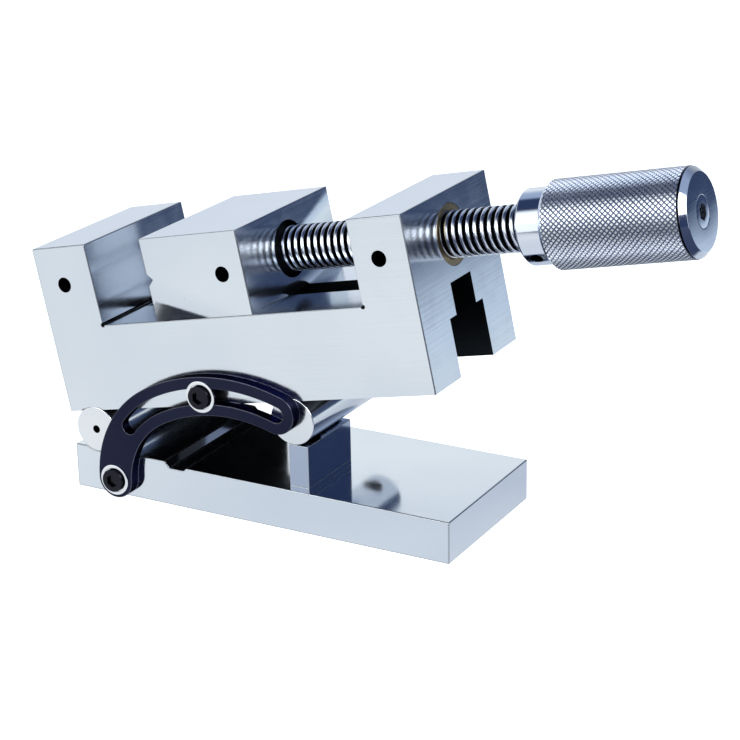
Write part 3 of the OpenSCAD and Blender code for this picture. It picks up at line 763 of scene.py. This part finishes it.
class ViseStage(PropertyGroup):
    """Where the camera stands, and the light."""
    azimuth: FloatProperty(name="Azimuth", description="Camera's angle round the vise, to the right",
                           default=math.radians(29.23), subtype="ANGLE")
    elevation: FloatProperty(name="Elevation", description="Camera's angle above the floor",
                             default=math.radians(20.11), subtype="ANGLE")
    roll: FloatProperty(name="Roll", description="Camera's lean", default=math.radians(-1.10),
                        subtype="ANGLE")
    distance: FloatProperty(name="Distance", description="From the camera to the point it looks at",
                            default=0.8671, min=0.2, unit="LENGTH")
    look_at: FloatVectorProperty(name="Looks at", description="Point at the middle of the view",
                                 default=(0.0406, -0.0093, 0.0651), subtype="XYZ", unit="LENGTH")
    lens: FloatProperty(name="Lens", description="Focal length in mm", default=103.92, min=20.0)
    floor_size: FloatProperty(name="Floor radius", description="Radius of the pale floor",
                              default=1.3, min=0.3, unit="LENGTH")


# ---- operators ----

class VISE_OT_base(Operator):
    """Make the base plate with its polished top"""
    bl_idname = "vise.base"
    bl_label = "Base"

    def execute(self, context):
        sizes = context.scene.vise_sizes
        mesh = copy_of("base_plate", "base_lapped")
        # The T-slot, holes and relief grooves get steel painted dark for the shade in them.
        paint_recess_shade(mesh, 20 * MM, 2 * MM ** 2)
        placed("base_lapped", mesh, "base", ["base_plate"],
               [lapped_steel(), painted_shade_steel(), shaded_edge_steel()], bevel=sizes.body_edge)
        return {"FINISHED"}


class VISE_OT_body(Operator):
    """Make the vise body with its fixed jaw and end wall"""
    bl_idname = "vise.body"
    bl_label = "Vise body"

    def execute(self, context):
        sizes = context.scene.vise_sizes
        mesh = copy_of("vise_body", "body_ground")
        # Slots, holes, small slanted faces and the whole underside get steel painted dark for the shade
        # there.
        paint_recess_shade(mesh, 32 * MM, 15 * MM ** 2, lambda centre, looks: looks.z < -0.95)
        placed("body_ground", mesh, "vise", ["vise_body"],
               [ground_steel(), painted_shade_steel(), shaded_edge_steel()], bevel=sizes.body_edge)
        return {"FINISHED"}


class VISE_OT_jaw(Operator):
    """Make the movable jaw and the plate that holds it down"""
    bl_idname = "vise.jaw"
    bl_label = "Movable jaw"

    def execute(self, context):
        sizes = context.scene.vise_sizes
        mesh = copy_of("movable_jaw", "jaw_ground")
        # Recesses, and the inner faces that look toward the end wall, get steel painted dark for the shade
        # there.
        paint_recess_shade(mesh, 26 * MM, also=lambda centre, looks: (
            looks.x > 0.9 and centre.x < JAW_HIGH.x - 2 * MM))
        placed("jaw_ground", mesh, "jaw", ["movable_jaw"],
               [ground_steel(), painted_shade_steel(), shaded_edge_steel()], bevel=sizes.body_edge)
        placed("plate_milled", copy_of("hold_down_plate", "plate_milled"), "jaw", ["hold_down_plate"],
               [plain_steel(), plain_steel()], bevel=sizes.body_edge)
        return {"FINISHED"}


class VISE_OT_rollers(Operator):
    """Make the hinge roller and the sine roller"""
    bl_idname = "vise.rollers"
    bl_label = "Rollers"

    def execute(self, context):
        sizes = context.scene.vise_sizes
        for node, name in (("hinge_roller", "roller_at_hinge"), ("sine_roller", "roller_on_gauges")):
            mesh = copy_of(node, name)
            # Holes get steel painted dark for the shade in them.
            paint_recess_shade(mesh, 12 * MM)
            placed(name, mesh, "vise", [node],
                   [roller_steel(), painted_shade_steel(), roller_steel()], bevel=sizes.roller_edge)
        return {"FINISHED"}


class VISE_OT_gauges(Operator):
    """Make the two gauge blocks"""
    bl_idname = "vise.gauges"
    bl_label = "Gauge blocks"

    def execute(self, context):
        edge = context.scene.vise_sizes.gauge_edge
        for node, name in (("gauge_block_upper", "gauge_upper"), ("gauge_block_lower", "gauge_lower")):
            placed(name, copy_of(node, name), "gauge_stack", [node],
                   [gauge_steel(), shaded_edge_steel()], bevel=edge)
        return {"FINISHED"}


class VISE_OT_link(Operator):
    """Make the slotted locking link"""
    bl_idname = "vise.link"
    bl_label = "Locking link"

    def execute(self, context):
        placed("link_blued", copy_of("locking_link", "link_blued"), "link", ["locking_link"],
               [blued_steel(), blued_edge()], bevel=context.scene.vise_sizes.link_edge)
        return {"FINISHED"}


def screw_values(head, height, shank, length, flats, socket=2.4):
    """The inputs of the screw tree, from sizes in metres but for the socket's depth in mm."""
    return {"Head Radius": head, "Head Height": height, "Shank Radius": shank, "Shank Length": length,
            "Across Flats": flats, "Edge": 0.4 * MM, "Socket Depth": socket * MM, "Grip": 0.12 * MM,
            "Material": black_oxide()}


class VISE_OT_link_screws(Operator):
    """Make the pivot and clamp screws of the link, and their cup washers"""
    bl_idname = "vise.link_screws"
    bl_label = "Link screws"

    def execute(self, context):
        screw = once("GeometryNodeTree", "Socket screw", screw_tree)
        washer = once("GeometryNodeTree", "Cup washer", washer_tree)
        for part, body in (("pivot", "base"), ("clamp", "vise")):
            low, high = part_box(f"link_{part}_screw")
            ring_low, ring_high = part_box(f"link_{part}_washer")
            middle = (low + high) / 2
            floor = 0.4 * MM
            seat = Vector((middle.x, ring_high.y - floor, middle.z))
            # X of the screw's own place points into the vise
            stand = Matrix.Translation(seat) @ Matrix.Rotation(math.pi / 2, 4, "Z")
            values = screw_values((high.x - low.x) / 2, seat.y - low.y, 2.5 * MM, high.y - seat.y,
                                  5 * MM, socket=1.4)
            mesh = grown(screw, values, [(0, 0, 0)])
            mesh.transform(stand)
            placed(f"{part}_screw_black", mesh, body, [f"link_{part}_screw"],
                   [black_oxide()])
            ring = grown(washer, {
                "Radius": (ring_high.x - ring_low.x) / 2, "Height": ring_high.y - ring_low.y,
                "Bore": 2.52 * MM, "Cup Radius": 5.3 * MM, "Floor": floor, "Edge": 0.4 * MM,
                "Material": washer_steel()}, [(0, 0, 0)])
            ring.transform(Matrix.Translation((0, floor, 0)) @ stand)
            placed(f"{part}_washer_cup", ring, body, [f"link_{part}_washer"],
                   [washer_steel()])
        return {"FINISHED"}


class VISE_OT_lower_screws(Operator):
    """Make the screws that hold the rollers and the hold-down plate, all heads down"""
    bl_idname = "vise.lower_screws"
    bl_label = "Screws underneath"

    def execute(self, context):
        tree = once("GeometryNodeTree", "Socket screw", screw_tree)
        # X of the screws' own place points up through the vise
        upward = Matrix.Rotation(-math.pi / 2, 4, "Y")
        # node, body, head radius and height, shank radius and socket in mm, and the way the pair is set out
        kinds = (("hinge_roller_screws", "vise", 4.25, 5.0, 2.5, 4.0, "y"),
                 ("sine_roller_screws", "vise", 4.25, 5.0, 2.5, 4.0, "y"),
                 ("hold_down_screws", "jaw", 5.0, 6.0, 3.0, 5.0, "x"))
        for node, body, head, height, shank, flats, row in kinds:
            low, high = own_box(node)
            middle = (low + high) / 2
            span = (high - low) / 2
            seat = low.z + height * MM
            reach = getattr(span, row) - head * MM
            shift = Vector((reach, 0, 0)) if row == "x" else Vector((0, reach, 0))
            centre = Vector((middle.x, middle.y, seat))
            points = [upward.inverted() @ (centre + shift * side) for side in (-1, 1)]
            mesh = grown(tree, screw_values(head * MM, height * MM, shank * MM, high.z - seat, flats * MM),
                         points)
            mesh.transform(OWN @ upward)
            placed(node + "_black", mesh, body, [node], [black_oxide()])
        return {"FINISHED"}


class VISE_OT_nut(Operator):
    """Make the bronze nut in the end wall"""
    bl_idname = "vise.nut"
    bl_label = "Nut"

    def execute(self, context):
        bore, outer, edge = SCREW_HIGH.z + 0.05 * MM, NUT_HIGH.z, 0.5 * MM
        low, high = NUT_LOW.x, NUT_HIGH.x
        ring = [(low, bore + edge), (low, outer - edge), (low + edge, outer), (high - edge / 2, outer),
                (high, outer - edge / 2), (high, bore + edge), (high - edge, bore), (low + edge, bore),
                (low, bore + edge)]
        mesh = welded("nut_bronze", [lathe("nut_bronze", ring, 128)])
        mesh.transform(OWN)
        placed("nut_turned", mesh, "vise", ["spindle_nut"], [nut_bronze()])
        return {"FINISHED"}


class VISE_OT_lead_screw(Operator):
    """Make the lead screw with its helical thread, nose and tail"""
    bl_idname = "vise.lead_screw"
    bl_label = "Lead screw"

    def execute(self, context):
        sizes = context.scene.vise_sizes
        steps = 96
        depth = sizes.thread_depth * MM
        core, start, end = SCREW_HIGH.z - depth, JAW_HIGH.x, HANDLE_LOW.x
        materials = [thread_steel(), thread_root_shade_steel(), plain_steel(), handle_steel()]
        tree = once("GeometryNodeTree", "Lead screw thread", thread_tree)
        thread = grown(tree, {
            "Start": start, "End": end, "Core Radius": core, "Depth": depth,
            "Pitch": sizes.thread_pitch * MM, "Steps": steps, "Material": materials[0],
            "Root Shade Material": materials[1]})
        nose, groove, tail = 7 * MM, 5 * MM, 6.25 * MM      # radii
        groove_x, groove_half = JAW_HIGH.x - 10.5 * MM, 2.45 * MM
        flats, sunk = 6 * MM, 12 * MM                       # the socket in the tail
        nose_outline = [(SCREW_LOW.x, 0), (SCREW_LOW.x, nose), (groove_x - groove_half, nose),
                        (groove_x - groove_half, groove), (groove_x + groove_half, groove),
                        (groove_x + groove_half, nose), (start, nose), (start, core)]
        tail_outline = [(end, core), (end, tail), (SCREW_HIGH.x, tail), (SCREW_HIGH.x, 0)]
        ends = []
        for index, outline in ((2, nose_outline), (3, tail_outline)):
            part = lathe("part", eased(outline, 0.4 * MM), steps)
            dress(part, materials)
            part.polygons.foreach_set("material_index", [index] * len(part.polygons))
            ends.append(part)
        mesh = welded("screw_threaded", [thread, *ends])
        inside, outside, corner = SCREW_HIGH.x - sunk, SCREW_HIGH.x + MM, flats / math.sqrt(3)
        hexagon = lathe("socket", [(inside, 0), (inside, corner), (outside, corner), (outside, 0)], 6)
        mesh = cut(mesh, hexagon, materials, 0)
        mesh.transform(OWN)
        placed("screw_threaded", mesh, "spindle", ["lead_screw"], materials)
        return {"FINISHED"}


class VISE_OT_handle(Operator):
    """Make the handle with its knurled barrel, smooth collar and bevelled rim"""
    bl_idname = "vise.handle"
    bl_label = "Handle"

    def execute(self, context):
        sizes = context.scene.vise_sizes
        collar_l, shoulder, rim, gap = 10.7 * MM, 2 * MM, 2.5 * MM, 0.8 * MM    # lengths, left to right
        bore, collar, outer = 6.27 * MM, 15 * MM, HANDLE_HIGH.z                 # radii
        bottom, groove, edge = outer - sizes.knurl_depth * MM, outer - 1.1 * MM, 1.2 * MM
        left, right = HANDLE_LOW.x, HANDLE_HIGH.x
        collar_end, barrel_start = left + collar_l, left + collar_l + shoulder
        rim_start, barrel_end = right - rim, right - rim - gap
        materials = [handle_steel(), knurl_steel(), painted_shade_steel(), flank_shade_steel()]
        outline = [(barrel_end, bottom), (barrel_end, groove), (rim_start, groove),
                   (rim_start, outer - 0.1 * MM), (right, outer - rim), (right, bore), (left, bore),
                   (left, collar - edge), (left + edge, collar), (collar_end, collar),
                   (collar_end, outer - shoulder), (barrel_start, bottom)]
        smooth = lathe("smooth", eased(outline, 0.3 * MM), 2 * sizes.knurl_around)
        # The undercut between the knurl and the rim gets steel painted dark for the shade in it.
        dark = [face.index for face in smooth.polygons
                if barrel_end - 0.01 * MM < face.center.x < rim_start - 0.2 * MM
                and math.hypot(face.center.y, face.center.z) > collar - 4 * MM]
        tree = once("GeometryNodeTree", "Diamond knurl", knurl_tree)
        knurl = grown(tree, {
            "Start": barrel_start, "End": barrel_end, "Radius": outer, "Depth": sizes.knurl_depth * MM,
            "Flat": sizes.knurl_flat, "Around": sizes.knurl_around, "Rows": sizes.knurl_rows,
            "Material": materials[1], "Flank Shade Material": materials[3]})
        dress(smooth, materials)
        dress(knurl, materials)
        for face in smooth.polygons:
            face.material_index = 2 if face.index in dark else 0
        for face in knurl.polygons:
            face.material_index = 3 if face.material_index else 1
        mesh = welded("handle_knurled", [smooth, knurl])
        screw_low, screw_high = own_box("handle_set_screw")
        middle = (screw_low + screw_high) / 2
        outward = Vector((0, middle.y, middle.z)).normalized()
        hole, deep, clear = 2.5 * MM, 7 * MM, 17 * MM
        drill = lathe("drill", [(deep, 0), (deep, hole), (clear, hole), (clear, 0)], 48)
        drill.transform(outward.to_track_quat("X", "Z").to_matrix().to_4x4())
        drill.transform(Matrix.Translation((middle.x, 0, 0)))
        # The set screw hole's walls get steel painted dark for the shade in it.
        mesh = cut(mesh, drill, materials, 2)
        mesh.transform(OWN)
        placed("handle_knurled", mesh, "spindle", ["handle"], materials, smooth=35.0)
        return {"FINISHED"}


class VISE_OT_inner_parts(Operator):
    """Give the small pieces that keep their CAD shape their finishes"""
    bl_idname = "vise.inner_parts"
    bl_label = "Small parts"

    def execute(self, context):
        finishes = {"hinge_eye_bolt": (plain_steel, "plain_steel"),
                    "hinge_eye_nut": (plain_steel, "plain_steel"),
                    "hinge_pin": (plain_steel, "plain_steel"), "nut_set_screw": (black_oxide, "black_oxide"),
                    "retaining_screw": (black_oxide, "black_oxide"),
                    "thrust_ball": (roller_steel, "polished_steel"),
                    "handle_set_screw": (black_oxide, "black_oxide")}
        for node, (finish, slot) in finishes.items():
            carried = frame["nodes"][node]
            for place in carried.material_slots:
                place.material = finish()
        return {"FINISHED"}


def aim(thing, spot, target):
    """Puts a light or camera at a spot and turns it to a target."""
    thing.location = spot
    thing.rotation_mode = "QUATERNION"
    thing.rotation_quaternion = (Vector(target) - Vector(spot)).to_track_quat("-Z", "Y")


def around(target, azimuth, elevation, distance):
    """The point that lies that way from a target."""
    flat = math.cos(elevation)
    way = Vector((math.sin(azimuth) * flat, -math.cos(azimuth) * flat, math.sin(elevation)))
    return Vector(target) + way * distance


NAVY = (0.03, 0.048, 0.115, 1.0)
WINDOW = (1.2, 1.25, 1.25, 1.0)
AWAY, ASIDE = (0.56, 0.82, 0.0), (0.85, -0.52, 0.0)     # behind to the right, and in front to the right


def studio_world():
    """A plain white room to the camera. What the steel reflects is a pale wall that fades upward, with dark
    patches where the room is open: overhead, behind to the right, and low in front to the right. A
    window stands in front, to the left."""
    world = bpy.data.worlds.new("studio")
    world.use_nodes = True
    n = Nodes(world.node_tree)
    world.node_tree.nodes.clear()
    way = n.add("ShaderNodeTexCoord").outputs["Generated"]
    stops = ((0.0, (0.55, 0.60, 0.68)), (0.47, (0.74, 0.79, 0.87)), (0.56, (0.76, 0.82, 0.91)),
             (0.67, (0.96, 1.0, 1.0)), (0.80, (0.42, 0.51, 0.68)), (1.0, (0.30, 0.38, 0.55)))
    seen = n.ramp(n.spread(n.split(way)[2], -1.0, 1.0), stops)
    # middle, edge and full strength as cosines from the middle, colour
    patches = (((0.56, 0.82, 0.1), 0.68, 0.93, (0.04, 0.062, 0.13, 1.0)),
               ((0.85, -0.52, -0.07), 0.88, 0.95, NAVY), ((-0.50, -0.78, 0.37), 0.60, 0.90, WINDOW),
               ((-0.1, -0.16, 0.98), 0.80, 0.89, NAVY), ((-0.68, -0.10, 0.72), 0.92, 0.965, NAVY))
    for centre, edge, full, colour in patches:
        near = n.along(way, Vector(centre).normalized())
        seen = n.blend(n.spread(near, edge, full), seen, colour)
    room = n.add("ShaderNodeBackground", {"Color": seen, "Strength": 1.0})
    white = n.add("ShaderNodeBackground", {"Color": (1.0, 1.0, 1.0, 1.0), "Strength": 1.05})
    to_camera = n.add("ShaderNodeLightPath").outputs["Is Camera Ray"]
    both = n.add("ShaderNodeMixShader", {0: to_camera, 1: room.outputs[0], 2: white.outputs[0]})
    n.add("ShaderNodeOutputWorld", {"Surface": both.outputs[0]})
    return world


def glowing_floor():
    """Pale paper that glows, even to the camera. What the steel reflects is its painted glow, which fades
    behind to the right, has soft bluer patches, and turns dark on the right.
    """
    material = bpy.data.materials.new("glowing_floor")
    material.use_nodes = True
    shader = material.node_tree.nodes["Principled BSDF"]
    n = Nodes(material.node_tree)
    place = n.add("ShaderNodeTexCoord").outputs["Object"]
    to_camera = n.add("ShaderNodeLightPath").outputs["Is Camera Ray"]
    grain = n.noise(place, 400.0, 3.0)
    paper = n.blend(grain, (0.88, 0.89, 0.90, 1.0), (0.92, 0.93, 0.94, 1.0))
    # The steel sees the paper black, lit only by its painted glow.
    n.feed(shader.inputs["Base Color"], n.blend(to_camera, (0.02, 0.02, 0.02, 1.0), paper))
    stops = ((0.0, (0.96, 0.99, 1.0)), (0.13, (0.92, 0.96, 1.0)), (0.20, (0.64, 0.70, 0.80)),
             (0.43, (0.88, 0.96, 1.0)), (0.56, (0.74, 0.86, 1.0)), (0.69, (0.66, 0.79, 0.94)),
             (0.85, (0.62, 0.73, 0.88)), (0.91, (0.32, 0.42, 0.53)), (0.98, (0.10, 0.14, 0.22)))
    # Painted reflection: the glow the steel sees fades behind to the right, with soft bluer patches and a
    # navy band on the right.
    faded = n.ramp(n.spread(n.along(place, AWAY), -0.2, 1.3), stops)
    uneven = n.spread(n.noise(place, 4.5, 1.0), 0.35, 0.68, 0.0, 0.22)
    seen = n.blend(uneven, faded, (0.42, 0.52, 0.66, 1.0))
    seen = n.blend(n.spread(n.along(place, ASIDE), 0.165, 0.195), seen, NAVY)
    n.feed(shader.inputs["Emission Color"], n.blend(to_camera, seen, (1.0, 1.0, 1.0, 1.0)))
    shader.inputs["Emission Strength"].default_value = 0.9
    shader.inputs["Roughness"].default_value = 0.9
    shader.inputs["Specular IOR Level"].default_value = 0.1
    return material


class VISE_OT_stage(Operator):
    """Set out the floor, the lights and the camera"""
    bl_idname = "vise.stage"
    bl_label = "Stage"

    def execute(self, context):
        scene, stage = context.scene, context.scene.vise_stage
        scene.world = studio_world()
        scene.view_settings.view_transform = "Standard"
        mesh = lathe("floor", [(0.0, 0.0), (0.0, stage.floor_size)], 128)
        mesh.transform(Matrix.Rotation(-math.pi / 2, 4, "Y"))
        mesh.transform(Matrix.Translation((0.03, 0, -0.05 * MM)))
        if mesh.polygons[0].normal.z < 0:
            mesh.flip_normals()
        mesh.materials.append(glowing_floor())
        shown("floor", mesh)
        # a dark card close behind, hidden from the camera and casting no shadow, whose reflection paints
        # shade in the steel under the vise
        left, right, back, low, high = -0.12, -0.03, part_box("vise_body")[1].y + 3 * MM, 0.001, 0.07
        sheet = bpy.data.meshes.new("painted_shade_card")
        sheet.from_pydata([(left, back, low), (right, back, low), (right, back, high), (left, back, high)],
                          [], [(0, 1, 2, 3)])
        sheet.materials.append(painted_shade_steel())
        card = shown("painted_shade_card", sheet)
        card.visible_camera = card.visible_shadow = False
        # name, azimuth and elevation in degrees, distance, width and height in metres, power in watts
        lights = (("key", -25, 30, 1.2, 0.8, 0.4, 3.0), ("side", 58, 34, 1.2, 0.8, 0.7, 7.0))
        for name, azimuth, elevation, distance, width, height, power in lights:
            lamp = bpy.data.lights.new(name, "AREA")
            lamp.shape, lamp.size, lamp.size_y, lamp.energy = "RECTANGLE", width, height, power
            light = shown(name, lamp)
            aim(light, around(stage.look_at, math.radians(azimuth), math.radians(elevation), distance),
                stage.look_at)
            light.visible_camera = False
        lens = bpy.data.cameras.new("camera")
        lens.lens, lens.sensor_width = stage.lens, 36.0
        lens.clip_start, lens.clip_end = 0.01, 20.0
        camera = shown("camera", lens)
        aim(camera, around(stage.look_at, stage.azimuth, stage.elevation, stage.distance), stage.look_at)
        camera.rotation_quaternion = camera.rotation_quaternion @ Matrix.Rotation(
            stage.roll, 3, "Z").to_quaternion()
        scene.camera = camera
        return {"FINISHED"}


# ---- panel and registration ----

MAKERS = (VISE_OT_base, VISE_OT_body, VISE_OT_jaw, VISE_OT_rollers, VISE_OT_gauges, VISE_OT_link,
          VISE_OT_link_screws, VISE_OT_lower_screws, VISE_OT_nut, VISE_OT_lead_screw, VISE_OT_handle,
          VISE_OT_inner_parts, VISE_OT_stage)
SETTINGS = (("vise_sizes", ViseSizes), ("vise_colours", ViseColours), ("vise_stage", ViseStage))


class VISE_PT_panel(Panel):
    """Lists the pieces of the sine vise and their settings"""
    bl_label = "Sine vise"
    bl_space_type = "VIEW_3D"
    bl_region_type = "UI"
    bl_category = "Sine vise"

    def draw(self, context):
        for maker in MAKERS:
            self.layout.operator(maker.bl_idname)
        for name, group in SETTINGS:
            for setting in group.__annotations__:
                self.layout.prop(getattr(context.scene, name), setting)


def register():
    for name, group in SETTINGS:
        bpy.utils.register_class(group)
        setattr(bpy.types.Scene, name, PointerProperty(type=group))
    for one in (*MAKERS, VISE_PT_panel):
        bpy.utils.register_class(one)


def unregister():
    for one in (VISE_PT_panel, *reversed(MAKERS)):
        bpy.utils.unregister_class(one)
    for name, group in reversed(SETTINGS):
        delattr(bpy.types.Scene, name)
        bpy.utils.unregister_class(group)


def main():
    register()
    for maker in MAKERS:
        area, verb = maker.bl_idname.split(".")
        getattr(getattr(bpy.ops, area), verb)()


if __name__ == "__main__":
    main()
